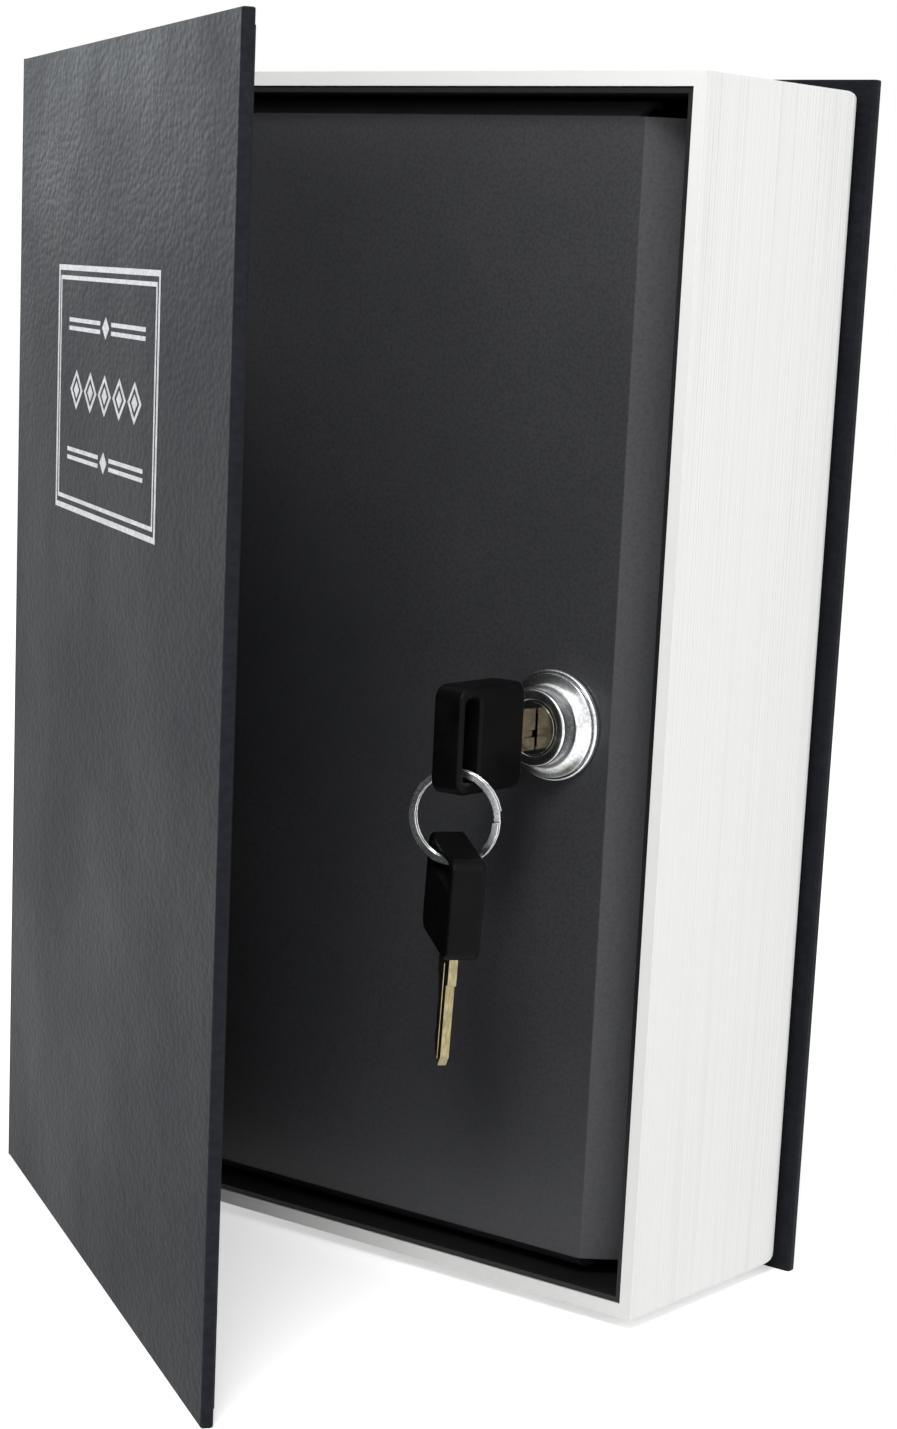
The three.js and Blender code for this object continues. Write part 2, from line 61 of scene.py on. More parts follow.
print("frame loaded:", len(nodes), "nodes")


# Camera, worked out from the edges of the book; angles in radians, image measures in pixels
cameraSet = {
    "place": (0.43968, -0.49944, 0.22120),
    "azimuth": 0.6505,
    "elevation": 0.2225,
    "roll": 0.0467,
    "focalPixels": 3037.4,
    "imageSize": (897, 1429),
    "centre": (448.5, 960.0),
    "sensor": 36.0,
    "nearClip": 0.01,
}


def addCamera(settings):
    az, el, roll = settings["azimuth"], settings["elevation"], settings["roll"]
    back = Vector((math.sin(az) * math.cos(el), -math.cos(az) * math.cos(el), math.sin(el)))
    right = Vector((math.cos(az), math.sin(az), 0.0))
    up = back.cross(right)
    rightRolled = math.cos(roll) * right + math.sin(roll) * up
    upRolled = -math.sin(roll) * right + math.cos(roll) * up
    turn = Matrix((rightRolled, upRolled, back)).transposed().to_4x4()
    data = bpy.data.cameras.new("photoCamera")
    camera = bpy.data.objects.new("photoCamera", data)
    bpy.context.scene.collection.objects.link(camera)
    camera.matrix_world = Matrix.Translation(settings["place"]) @ turn
    width, height = settings["imageSize"]
    longSide = max(width, height)
    data.sensor_width = settings["sensor"]
    data.lens = settings["focalPixels"] * settings["sensor"] / longSide
    data.shift_x = (width / 2 - settings["centre"][0]) / longSide
    data.shift_y = (settings["centre"][1] - height / 2) / longSide
    data.clip_start = settings["nearClip"]
    bpy.context.scene.camera = camera


addCamera(cameraSet)
print("camera placed")


# Small makers for shader nodes
def mathNode(tree, operation, first, second=None):
    node = tree.nodes.new("ShaderNodeMath")
    node.operation = operation
    for socket, value in zip(node.inputs, (first, second)):
        if value is None:
            continue
        if isinstance(value, (int, float)):
            socket.default_value = value
        else:
            tree.links.new(value, socket)
    return node.outputs[0]


def mapRange(tree, source, before=(0.0, 1.0), after=(0.0, 1.0)):
    node = tree.nodes.new("ShaderNodeMapRange")
    for label, value in zip(("From Min", "From Max", "To Min", "To Max"), (*before, *after)):
        node.inputs[label].default_value = value
    tree.links.new(source, node.inputs["Value"])
    return node.outputs["Result"]


def noiseFactor(tree, vector, scale, detail):
    node = tree.nodes.new("ShaderNodeTexNoise")
    node.inputs["Detail"].default_value = detail
    tree.links.new(vector, node.inputs["Vector"])
    tree.links.new(scale, node.inputs["Scale"])
    return node.outputs["Fac"]


# Shader groups that several materials share
def newGroup(name, inputs, outputs):
    group = bpy.data.node_groups.new(name, "ShaderNodeTree")
    for label, kind, value in inputs:
        socket = group.interface.new_socket(label, in_out="INPUT", socket_type=kind)
        if value is not None:
            socket.default_value = value
    for label in outputs:
        group.interface.new_socket(label, in_out="OUTPUT", socket_type="NodeSocketFloat")
    return group, group.nodes.new("NodeGroupInput"), group.nodes.new("NodeGroupOutput")


mottleShape = {
    "cloudDetail": 4.0, "speckDetail": 2.0, "speckRatio": 14.0, "cloudEnds": (0.32, 0.68),
    "noiseMiddle": 0.5,
}


def makeMottle(shape):
    # cloudy patches, from 0 to 1, with a finer speckle laid over them
    group, inside, outside = newGroup(
        "mottle",
        [("Vector", "NodeSocketVector", None), ("Scale", "NodeSocketFloat", 40.0),
         ("Speckle", "NodeSocketFloat", 0.2)],
        ["Mask"])
    vector, scale = inside.outputs["Vector"], inside.outputs["Scale"]
    cloud = noiseFactor(group, vector, scale, shape["cloudDetail"])
    speckScale = mathNode(group, "MULTIPLY", scale, shape["speckRatio"])
    speck = noiseFactor(group, vector, speckScale, shape["speckDetail"])
    centred = mathNode(group, "SUBTRACT", speck, shape["noiseMiddle"])
    speckle = mathNode(group, "MULTIPLY", centred, inside.outputs["Speckle"])
    spread = mapRange(group, cloud, before=shape["cloudEnds"])
    group.links.new(mathNode(group, "ADD", spread, speckle), outside.inputs["Mask"])
    return group


grainShape = {
    "smoothness": 0.35, "waveDetail": 3.0, "waveRatio": 0.22, "domeShare": 0.6, "waveShare": 0.9,
    "creaseEnds": (0.35, 0.75),
}


def makeGrain(shape):
    # leather-like cells with creases between them, scaled along Z by the stretch
    group, inside, outside = newGroup(
        "grain",
        [("Vector", "NodeSocketVector", None), ("Scale", "NodeSocketFloat", 800.0),
         ("Stretch", "NodeSocketFloat", 1.0)],
        ["Height", "Crease"])
    parts = group.nodes.new("ShaderNodeSeparateXYZ")
    joined = group.nodes.new("ShaderNodeCombineXYZ")
    stretched = mathNode(group, "DIVIDE", parts.outputs[2], inside.outputs["Stretch"])
    group.links.new(inside.outputs["Vector"], parts.inputs[0])
    group.links.new(parts.outputs[0], joined.inputs[0])
    group.links.new(parts.outputs[1], joined.inputs[1])
    group.links.new(stretched, joined.inputs[2])
    cells = group.nodes.new("ShaderNodeTexVoronoi")
    cells.feature = "SMOOTH_F1"
    cells.inputs["Smoothness"].default_value = shape["smoothness"]
    group.links.new(joined.outputs[0], cells.inputs["Vector"])
    group.links.new(inside.outputs["Scale"], cells.inputs["Scale"])
    waveScale = mathNode(group, "MULTIPLY", inside.outputs["Scale"], shape["waveRatio"])
    waves = noiseFactor(group, joined.outputs[0], waveScale, shape["waveDetail"])
    dome = mathNode(group, "SUBTRACT", 1.0, cells.outputs["Distance"])
    height = mathNode(group, "ADD", mathNode(group, "MULTIPLY", dome, shape["domeShare"]),
                      mathNode(group, "MULTIPLY", waves, shape["waveShare"]))
    crease = mapRange(group, cells.outputs["Distance"], before=shape["creaseEnds"])
    group.links.new(height, outside.inputs["Height"])
    group.links.new(crease, outside.inputs["Crease"])
    return group


pageLinesShape = {"detail": 2.0, "lineStretch": 0.006, "bandStretch": 0.02, "bandRatio": 0.25}


def makePageLines(shape):
    # thin lines for the edges of pages, stacked along Y, that fade in and out along their length
    group, inside, outside = newGroup(
        "pageLines",
        [("Vector", "NodeSocketVector", None), ("Scale", "NodeSocketFloat", 900.0)],
        ["Lines", "Bands"])

    def stretchedNoise(along, scale):
        mapping = group.nodes.new("ShaderNodeMapping")
        mapping.inputs["Scale"].default_value = (along, 1.0, along)
        group.links.new(inside.outputs["Vector"], mapping.inputs["Vector"])
        return noiseFactor(group, mapping.outputs[0], scale, shape["detail"])

    lineScale = inside.outputs["Scale"]
    bandScale = mathNode(group, "MULTIPLY", lineScale, shape["bandRatio"])
    lines = stretchedNoise(shape["lineStretch"], lineScale)
    bands = stretchedNoise(shape["bandStretch"], bandScale)
    group.links.new(lines, outside.inputs["Lines"])
    group.links.new(bands, outside.inputs["Bands"])
    return group


mottleGroup = makeMottle(mottleShape)
grainGroup = makeGrain(grainShape)
pageLinesGroup = makePageLines(pageLinesShape)


# Finishes: two tones mixed by a mottle, a roughness range, and a grain that drives a bump
finishes = {
    "leatherette": dict(
        dark=(0.009, 0.0102, 0.0135), light=(0.0145, 0.0165, 0.0215), rough=(0.46, 0.58),
        mottle=16.0, speckle=0.4, grain=430.0, stretch=0.6, depth=0.0002, specular=0.075),
    "lining": dict(
        dark=(0.0075, 0.0078, 0.0085), light=(0.013, 0.0135, 0.015), rough=(0.7, 0.85),
        mottle=30.0, speckle=0.6, grain=2600.0, stretch=1.0, depth=0.00004, specular=0.25),
    "blackPaint": dict(
        dark=(0.036, 0.037, 0.0405), light=(0.048, 0.049, 0.0535), rough=(0.4, 0.48),
        mottle=11.0, speckle=0.25, grain=1300.0, stretch=1.0, depth=0.000012, specular=0.5),
    "tubPaint": dict(
        dark=(0.007, 0.007, 0.008), light=(0.011, 0.011, 0.0125), rough=(0.42, 0.52),
        mottle=12.0, speckle=0.25, grain=1300.0, stretch=1.0, depth=0.000012, specular=0.35),
    "zincSteel": dict(
        dark=(0.34, 0.35, 0.36), light=(0.52, 0.53, 0.55), rough=(0.28, 0.42),
        mottle=160.0, speckle=0.5, grain=1800.0, stretch=1.0, depth=0.00001, metallic=1.0),
    "chrome": dict(
        dark=(0.74, 0.75, 0.76), light=(0.84, 0.85, 0.86), rough=(0.16, 0.24),
        mottle=120.0, speckle=0.3, grain=1500.0, stretch=1.0, depth=0.000002, metallic=1.0),
    "brightChrome": dict(
        dark=(0.82, 0.83, 0.84), light=(0.92, 0.93, 0.94), rough=(0.22, 0.3),
        mottle=120.0, speckle=0.3, grain=1500.0, stretch=1.0, depth=0.000002, metallic=1.0),
    "blackPlastic": dict(
        dark=(0.002, 0.002, 0.0022), light=(0.004, 0.004, 0.0045), rough=(0.4, 0.52),
        mottle=160.0, speckle=0.6, grain=4200.0, stretch=1.0, depth=0.00003, specular=0.08),
    "keyBrass": dict(
        dark=(0.27, 0.225, 0.12), light=(0.44, 0.38, 0.22), rough=(0.1, 0.17),
        mottle=220.0, speckle=0.5, grain=2400.0, stretch=6.0, depth=0.000006, metallic=1.0),
    # a darker copy of keyBrass for the key in the lock: painted reflection, the dark surroundings
    # its blade mirrors painted into its colour
    "darkReflectionBrass": dict(
        dark=(0.07, 0.055, 0.03), light=(0.14, 0.115, 0.067), rough=(0.12, 0.2),
        mottle=260.0, speckle=0.6, grain=2400.0, stretch=1.0, depth=0.000006, metallic=1.0),
    "foil": dict(
        dark=(0.56, 0.58, 0.60), light=(0.76, 0.78, 0.80), rough=(0.4, 0.55),
        mottle=300.0, speckle=0.8, grain=1500.0, stretch=1.0, depth=0.00003, metallic=0.35),
}
creaseLook = {"share": 0.45, "tone": 0.6}   # how far the creases go towards a darker dark tone


def objectCoordinates(tree):
    return tree.nodes.new("ShaderNodeTexCoord").outputs["Object"]


def addGroup(tree, group, vector, **values):
    node = tree.nodes.new("ShaderNodeGroup")
    node.node_tree = group
    tree.links.new(vector, node.inputs["Vector"])
    for label, value in values.items():
        node.inputs[label].default_value = value
    return node


def mixColours(tree, factor, first, second):
    mix = tree.nodes.new("ShaderNodeMix")
    mix.data_type = "RGBA"
    tree.links.new(factor, mix.inputs["Factor"])
    for socket, value in ((mix.inputs["A"], first), (mix.inputs["B"], second)):
        if isinstance(value, tuple):
            socket.default_value = (*value, 1.0)
        else:
            tree.links.new(value, socket)
    return mix.outputs["Result"]


def addBump(tree, shader, height, distance):
    bump = tree.nodes.new("ShaderNodeBump")
    bump.inputs["Strength"].default_value = 1.0
    bump.inputs["Distance"].default_value = distance
    tree.links.new(height, bump.inputs["Height"])
    tree.links.new(bump.outputs["Normal"], shader.inputs["Normal"])


def newMaterial(name):
    material = bpy.data.materials.new(name)
    material.use_nodes = True
    tree = material.node_tree
    return material, tree, tree.nodes["Principled BSDF"]


def makeFinish(name, look, crease):
    material, tree, shader = newMaterial(name)
    vector = objectCoordinates(tree)
    mottle = addGroup(tree, mottleGroup, vector, Scale=look["mottle"], Speckle=look["speckle"])
    grain = addGroup(tree, grainGroup, vector, Scale=look["grain"], Stretch=look["stretch"])
    toned = mixColours(tree, mottle.outputs["Mask"], look["dark"], look["light"])
    shade = mathNode(tree, "MULTIPLY", grain.outputs["Crease"], crease["share"])
    darkest = tuple(crease["tone"] * value for value in look["dark"])
    tree.links.new(mixColours(tree, shade, toned, darkest), shader.inputs["Base Color"])
    rough = mapRange(tree, mottle.outputs["Mask"], after=look["rough"])
    tree.links.new(rough, shader.inputs["Roughness"])
    shader.inputs["Metallic"].default_value = look.get("metallic", 0.0)
    shader.inputs["Specular IOR Level"].default_value = look.get("specular", 0.5)
    addBump(tree, shader, grain.outputs["Height"], look["depth"])
    return material


# The bands on the page block show most near the head and the tail, and fade towards the middle
pageLook = {
    "paper": (0.83, 0.83, 0.815), "band": (0.72, 0.725, 0.71), "bandShare": 0.55,
    "bandEnds": (0.5, 0.72), "scale": 1500.0, "depth": 0.00012, "rough": (0.5, 0.62),
    "mottle": 18.0, "speckle": 0.2, "middleHeight": 0.1325, "fadeEnds": (0.06, 0.13),
    "fadeLeast": 0.35,
}


def makePageWhite(look):
    material, tree, shader = newMaterial("pageWhite")
    vector = objectCoordinates(tree)
    lines = addGroup(tree, pageLinesGroup, vector, Scale=look["scale"])
    mottle = addGroup(tree, mottleGroup, vector, Scale=look["mottle"], Speckle=look["speckle"])
    place = tree.nodes.new("ShaderNodeSeparateXYZ")
    tree.links.new(vector, place.inputs[0])
    above = mathNode(tree, "SUBTRACT", place.outputs["Z"], look["middleHeight"])
    height = mathNode(tree, "ABSOLUTE", above)
    nearEnd = mapRange(tree, height, before=look["fadeEnds"], after=(look["fadeLeast"], 1.0))
    bands = mapRange(tree, lines.outputs["Bands"], before=look["bandEnds"])
    faded = mathNode(tree, "MULTIPLY", bands, nearEnd)
    strength = mathNode(tree, "MULTIPLY", faded, look["bandShare"])
    colour = mixColours(tree, strength, look["paper"], look["band"])
    tree.links.new(colour, shader.inputs["Base Color"])
    rough = mapRange(tree, mottle.outputs["Mask"], after=look["rough"])
    tree.links.new(rough, shader.inputs["Roughness"])
    addBump(tree, shader, lines.outputs["Lines"], look["depth"])
    return material


materials = {name: makeFinish(name, look, creaseLook) for name, look in finishes.items()}
materials["pageWhite"] = makePageWhite(pageLook)
slotFinish = {
    "leatherette": "leatherette", "page_white": "pageWhite", "lining_paper": "lining",
    "black_paint": "blackPaint", "zinc_steel": "zincSteel", "chrome": "chrome",
    "black_plastic": "blackPlastic", "key_brass": "keyBrass",
}
record = frame["record"]
nodeSlots = {part["node"]: part["material_slot"] for part in record["subparts"]}
nodeBodies = {node: body for body, group in record["behaviour"]["bodies"].items() for node in group}
print("finishes made:", len(materials))


# Every solid first gets its finish; the ones that show are then replaced by softer pieces
for name, solid in nodes.items():
    finish = materials[slotFinish[nodeSlots[name]]]
    if not solid.material_slots:
        solid.data.materials.append(finish)
    for place in solid.material_slots:
        place.material = finish


def addPiece(name, mesh, body, finish, smoothAngle=40.0):
    for face in mesh.polygons:
        face.use_smooth = True
    mesh.set_sharp_from_angle(angle=math.radians(smoothAngle))
    mesh.materials.clear()
    mesh.materials.append(materials[finish])
    piece = bpy.data.objects.new(name, mesh)
    bpy.context.scene.collection.objects.link(piece)
    weighted = piece.modifiers.new("evenNormals", "WEIGHTED_NORMAL")
    weighted.keep_sharp = True
    if body:
        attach(piece, body)
    return piece


def toMesh(bm, name):
    mesh = bpy.data.meshes.new(name)
    bm.to_mesh(mesh)
    bm.free()
    return mesh


def mergedCopy(node):
    bm = bmesh.new()
    bm.from_mesh(nodes[node].data)
    bmesh.ops.remove_doubles(bm, verts=bm.verts, dist=mergeDistance)
    bmesh.ops.dissolve_limit(bm, angle_limit=math.radians(flatAngle), verts=bm.verts,
                             edges=bm.edges, use_dissolve_boundaries=False)
    return bm


def bevelSharp(bm, width, segments=3, sharpest=30.0, keep=None):
    # rounds the edges that turn by more than sharpest, in degrees, and that keep lets through
    sharp = [edge for edge in bm.edges
             if len(edge.link_faces) == 2 and edge.calc_face_angle() > math.radians(sharpest)
             and (keep is None or keep(edge))]
    bmesh.ops.bevel(bm, geom=sharp, offset=width, offset_type="OFFSET", affect="EDGES",
                    segments=segments, profile=0.5, material=-1, clamp_overlap=True)


def extrudeBy(bm, faces, offset):
    made = bmesh.ops.extrude_face_region(bm, geom=faces)
    moved = [item for item in made["geom"] if isinstance(item, bmesh.types.BMVert)]
    bmesh.ops.translate(bm, verts=moved, vec=offset)


def softened(node, width, segments=3, sharpest=30.0, finish=None):
    # a copy of a solid with its edges rounded as cloth, paint or a mould rounds them
    bm = mergedCopy(node)
    bevelSharp(bm, width, segments, sharpest)
    slot = nodeSlots[node]
    title = node + "_finished"
    piece = addPiece(title, toMesh(bm, title), nodeBodies[node], finish or slotFinish[slot])
    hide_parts(node)


# Case: boards, rounded spine and the cloth that joins them, each body's part as one covered piece
caseShape = {
    "backHinge": (-0.0900, 0.08317), "frontHinge": (-0.0900, 0.01977), "openAngle": 32.88,
    "bead": 1.3 * mm, "spineHalf": 30.0 * mm, "spineRise": 8.7 * mm, "width": 190.0 * mm,
    "board": 2.6 * mm, "setback": 2.1 * mm, "cloth": 0.8 * mm, "legEnd": 1.4 * mm,
    "seat": 0.06 * mm, "chamfer": 0.45 * mm, "tongueStart": 0.7 * mm,
    "edge": 0.75 * mm, "edgeSegments": 5, "rim": 0.38 * mm, "rimSegments": 3, "corner": 60.0,
    "beadRim": 0.12 * mm, "beadRimSegments": 2, "beadSides": 28,
    "liningEdge": 0.15 * mm, "liningSegments": 2, "steps": 12, "spineSteps": 40,
}


def coverFrame(shape):
    # a frame on the front cover: X from its hinge line to its free edge, -Y out of its face, Z up
    return (Matrix.Translation((*shape["frontHinge"], 0.0))
            @ Matrix.Rotation(math.radians(-shape["openAngle"]), 4, "Z"))


def lineTo(bm, vert, place):
    new = bmesh.ops.extrude_vert_indiv(bm, verts=[vert])["verts"][0]
    new.co = place
    return new


def arcTo(bm, vert, centre, angle, steps):
    made = bmesh.ops.spin(bm, geom=[vert], cent=centre, axis=(0, 0, 1), angle=angle, steps=steps)
    return made["geom_last"][0]


def raiseProfile(bm, height, freeEdge, shape):
    # a closed outline becomes a solid, and its free edge is rounded more than its ends
    face = bmesh.ops.contextual_create(bm, geom=bm.verts[:] + bm.edges[:])["faces"][0]
    extrudeBy(bm, [face], (0, 0, height))
    bmesh.ops.recalc_face_normals(bm, faces=bm.faces)

    def isFreeUpright(edge):
        first, second = edge.verts
        atEdge = all(abs(vert.co.x - freeEdge) < sameDistance for vert in edge.verts)
        return atEdge and first.co.z != second.co.z

    def isLevel(edge):
        first, second = edge.verts
        return abs(first.co.z - second.co.z) < sameDistance

    bevelSharp(bm, shape["edge"], shape["edgeSegments"], shape["corner"], isFreeUpright)
    bevelSharp(bm, shape["rim"], shape["rimSegments"], shape["corner"], isLevel)


def makeBackShell(shape, height):
    backX, backY = shape["backHinge"]
    frontX, frontY = shape["frontHinge"]
    bead, board = shape["bead"], shape["board"]
    inside = bead - shape["cloth"]
    middleY = (backY + frontY) / 2
    radius = (shape["spineHalf"] ** 2 + shape["spineRise"] ** 2) / (2 * shape["spineRise"])
    half = math.asin(shape["spineHalf"] / radius)
    spineX = backX - bead + radius * math.cos(half)
    freeX = backX + shape["width"]
    seatY = frontY + bead + shape["seat"]
    bm = bmesh.new()
    first = bm.verts.new((freeX, backY + bead, 0.0))
    tip = lineTo(bm, first, (backX, backY + bead, 0.0))
    tip = arcTo(bm, tip, (backX, backY, 0.0), math.pi / 2, shape["steps"])
    tip = lineTo(bm, tip, (backX - bead, middleY + shape["spineHalf"], 0.0))
    tip = arcTo(bm, tip, (spineX, middleY, 0.0), 2 * half, shape["spineSteps"])
    tip = lineTo(bm, tip, (frontX - bead + shape["chamfer"], seatY, 0.0))
    tip = lineTo(bm, tip, (frontX, seatY, 0.0))
    inner = radius - board
    innerEnd = (spineX - inner * math.cos(half), middleY - inner * math.sin(half), 0.0)
    tip = lineTo(bm, tip, innerEnd)
    tip = arcTo(bm, tip, (spineX, middleY, 0.0), -2 * half, shape["spineSteps"])
    tip = lineTo(bm, tip, (backX - inside, backY - shape["legEnd"], 0.0))
    tip = lineTo(bm, tip, (backX - inside, backY, 0.0))
    tip = arcTo(bm, tip, (backX, backY, 0.0), -math.pi / 2, shape["steps"])
    setX, boardY = backX + shape["setback"], backY + bead - board
    for place in ((setX, backY + inside), (setX, boardY), (freeX, boardY)):
        tip = lineTo(bm, tip, (*place, 0.0))
    bm.edges.new((tip, first))
    bmesh.ops.remove_doubles(bm, verts=bm.verts, dist=mergeDistance)
    raiseProfile(bm, height, freeX, shape)
    piece = addPiece("case_shell", toMesh(bm, "case_shell"), "book_case",
                     "leatherette")
    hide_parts("back_cover_board", "spine_board", "back_joint_cloth")


def makeFrontBoard(shape, height):
    bead, width, start = shape["bead"], shape["width"], shape["tongueStart"]
    back, setback, inside = shape["board"] - bead, shape["setback"], shape["cloth"] - bead
    bm = bmesh.new()
    first = bm.verts.new((start, -bead, 0.0))
    tip = first
    for place in ((width, -bead), (width, back), (setback, back), (setback, inside),
                  (start, inside)):
        tip = lineTo(bm, tip, (*place, 0.0))
    bm.edges.new((tip, first))
    raiseProfile(bm, height, width, shape)
    bmesh.ops.transform(bm, matrix=coverFrame(shape), verts=bm.verts)
    piece = addPiece("front_board_covered", toMesh(bm, "front_board_covered"), "front_cover",
                     "leatherette")
    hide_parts("front_cover_board")


def makeFrontBead(shape, height):
    frontX, frontY = shape["frontHinge"]
    bm = bmesh.new()
    bmesh.ops.create_circle(bm, cap_ends=True, segments=shape["beadSides"], radius=shape["bead"])
    extrudeBy(bm, bm.faces[:], (0, 0, height))
    bevelSharp(bm, shape["beadRim"], shape["beadRimSegments"], shape["corner"])
    bmesh.ops.recalc_face_normals(bm, faces=bm.faces)
    bmesh.ops.translate(bm, verts=bm.verts, vec=(frontX, frontY, 0.0))
    joint = addPiece("front_joint_bead", toMesh(bm, "front_joint_bead"), None,
                     "leatherette")
    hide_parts("front_joint_cloth")
    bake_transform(joint)


def makeCase(shape):
    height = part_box("spine_board")[1][2]
    makeBackShell(shape, height)
    makeFrontBoard(shape, height)
    makeFrontBead(shape, height)
    softened("front_cover_lining", shape["liningEdge"], shape["liningSegments"])
    print("case made")


makeCase(caseShape)


# Foil on the front cover: a double frame and a plain ornament, in the cover's own frame
foilShape = {
    "low": (43.0 * mm, 165.8 * mm), "high": (136.0 * mm, 219.0 * mm), "outer": 1.2 * mm,
    "gap": 1.1 * mm, "inner": 0.9 * mm, "thickness": 0.07 * mm, "sink": 0.01 * mm,
    "ruleWidth": 0.9 * mm, "ruleHalf": 30.0 * mm, "ruleStart": 1.6, "rowOffset": 14.0 * mm,
    "lozenge": 3.2 * mm, "lozengeHeight": 0.72, "bandLozenge": 6.0 * mm, "bandHole": 1.0 * mm,
    "bandCore": 0.42, "bandStep": 13.5 * mm, "bandCount": 5,
}


def layOnCover(bm, verts, scale, centre, hole):
    # a face made in X and Y is sized and stood up in X and Z; with a hole only its rim is left
    bmesh.ops.scale(bm, vec=(*scale, 1.0), verts=verts)
    bmesh.ops.rotate(bm, cent=(0, 0, 0), matrix=Matrix.Rotation(math.radians(90), 3, "X"),
                     verts=verts)
    bmesh.ops.translate(bm, vec=(centre[0], 0.0, centre[1]), verts=verts)
    if hole:
        face = verts[0].link_faces[0]
        bmesh.ops.inset_individual(bm, faces=[face], thickness=hole, use_even_offset=True)
        bmesh.ops.delete(bm, geom=[face], context="FACES_ONLY")


def plate(bm, centre, size, hole=0.0):
    made = bmesh.ops.create_grid(bm, x_segments=1, y_segments=1, size=0.5)
    layOnCover(bm, made["verts"], size, centre, hole)


def lozenge(bm, centre, size, height, hole=0.0):
    made = bmesh.ops.create_circle(bm, cap_ends=True, segments=4, radius=size)
    layOnCover(bm, made["verts"], (1.0, height), centre, hole)


def makeFoil(shape, case):
    low, high, tall = shape["low"], shape["high"], shape["lozengeHeight"]
    centre = ((low[0] + high[0]) / 2, (low[1] + high[1]) / 2)
    size = (high[0] - low[0], high[1] - low[1])
    inset = 2 * (shape["outer"] + shape["gap"])
    rule = (shape["ruleHalf"], shape["ruleWidth"])
    bm = bmesh.new()
    plate(bm, centre, size, shape["outer"])
    plate(bm, centre, (size[0] - inset, size[1] - inset), shape["inner"])
    for side in (-1, 1):
        row = centre[1] + side * shape["rowOffset"]
        lozenge(bm, (centre[0], row), shape["lozenge"], tall)
        for hand in (-1, 1):
            place = centre[0] + hand * (shape["lozenge"] * shape["ruleStart"] + rule[0] / 2)
            for step in (-1, 1):
                plate(bm, (place, row + step * rule[1]), rule)
    first = -(shape["bandCount"] - 1) / 2
    for i in range(shape["bandCount"]):
        place = (centre[0] + (first + i) * shape["bandStep"], centre[1])
        lozenge(bm, place, shape["bandLozenge"], tall, shape["bandHole"])
        lozenge(bm, place, shape["bandLozenge"] * shape["bandCore"], tall)
    bmesh.ops.recalc_face_normals(bm, faces=bm.faces)
    extrudeBy(bm, bm.faces[:], (0, -shape["thickness"], 0))
    bmesh.ops.recalc_face_normals(bm, faces=bm.faces)
    bmesh.ops.translate(bm, verts=bm.verts, vec=(0, shape["sink"] - case["bead"], 0))
    bmesh.ops.transform(bm, matrix=coverFrame(case), verts=bm.verts)
    addPiece("title_frame_foil", toMesh(bm, "title_frame_foil"), "front_cover", "foil")
    print("foil made")


makeFoil(foilShape, caseShape)


# Door, tub, lock parts and small parts: the solids themselves with their edges rounded
softEdges = {
    "door_panel": dict(width=0.6 * mm, segments=4),
    "cam_keeper": dict(width=0.25 * mm),
    "upper_pivot_pin": dict(width=0.25 * mm),
    "lower_pivot_pin": dict(width=0.25 * mm),
    "upper_hinge_barrel": dict(width=0.2 * mm),
    "lower_hinge_barrel": dict(width=0.2 * mm),
    "lock_washer": dict(width=0.15 * mm, segments=2),
    "lock_nut": dict(width=0.25 * mm, segments=2),
    "lock_plug": dict(width=0.2 * mm),
    "lock_cam": dict(width=0.25 * mm),
    "cam_screw": dict(width=0.2 * mm),
    "spare_key_blade": dict(width=0.18 * mm),
    "tub_rivet_1": dict(width=0.2 * mm, segments=2),
    "tub_rivet_2": dict(width=0.2 * mm, segments=2),
    "tub_rivet_3": dict(width=0.2 * mm, segments=2),
    "tub_rivet_4": dict(width=0.2 * mm, segments=2),
    "split_ring": dict(width=0.14 * mm, sharpest=50.0, finish="brightChrome"),
    "key_blade": dict(width=0.18 * mm, finish="darkReflectionBrass"),   # the key in use has a darker copy of the brass, a painted reflection of the dark surroundings its blade mirrors
    "steel_tub": dict(width=0.2 * mm, segments=2, finish="tubPaint"),
}
for name, edge in softEdges.items():
    softened(name, **edge)


# Page block: its head and tail fall away in a long curve before they reach the back board
blockShape = {
    "edge": 0.8 * mm, "segments": 4, "curveLength": 6.5 * mm, "curveDrop": 2.4 * mm, "cuts": 9,
    "smoothAngle": 50.0,
}


def makePageBlock(shape):
    low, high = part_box("page_block")
    start = high.y - shape["curveLength"]
    middle = (low.z + high.z) / 2
    outer = (high.z - low.z) / 2 - shape["curveDrop"] * 2   # only the two ends beyond this move
    bm = mergedCopy("page_block")
    bevelSharp(bm, shape["edge"], shape["segments"])
    for i in range(shape["cuts"]):
        place = (0.0, start + shape["curveLength"] * i / shape["cuts"], 0.0)
        bmesh.ops.bisect_plane(bm, geom=bm.verts[:] + bm.edges[:] + bm.faces[:],
                               dist=mergeDistance, plane_co=place, plane_no=(0, 1, 0))
    for vert in bm.verts:
        share = (vert.co.y - start) / shape["curveLength"]
        height = vert.co.z - middle
        if share > 0 and abs(height) > outer:
            vert.co.z -= math.copysign(shape["curveDrop"] * share ** 2, height)
    piece = addPiece("page_block_finished", toMesh(bm, "page_block_finished"), "book_case",
                     "pageWhite", shape["smoothAngle"])
    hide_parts("page_block")


makePageBlock(blockShape)
print("block, door and small parts made")


# Lock: bezel and body are turned on the lock's axis. Profile points are (radius, depth from the
# front of the boss), in millimetres
lockShape = {
    "body": [(5.9, 0.35), (6.25, 0.0), (7.6, 0.0), (8.1, 0.2), (8.3, 0.7), (8.3, 3.4), (8.55, 4.2),
             (9.3, 4.95), (10.4, 5.5), (11.2, 5.85), (11.2, 6.2), (9.0, 6.2), (9.0, 24.8),
             (5.9, 24.8)],
    "bezel": [(9.3, 6.5), (11.3, 6.5), (11.75, 6.65), (12.0, 7.05), (12.0, 7.7), (9.3, 7.7)],
    "steps": 96, "edge": 0.12 * mm, "segments": 2, "sharpest": 40.0,
}


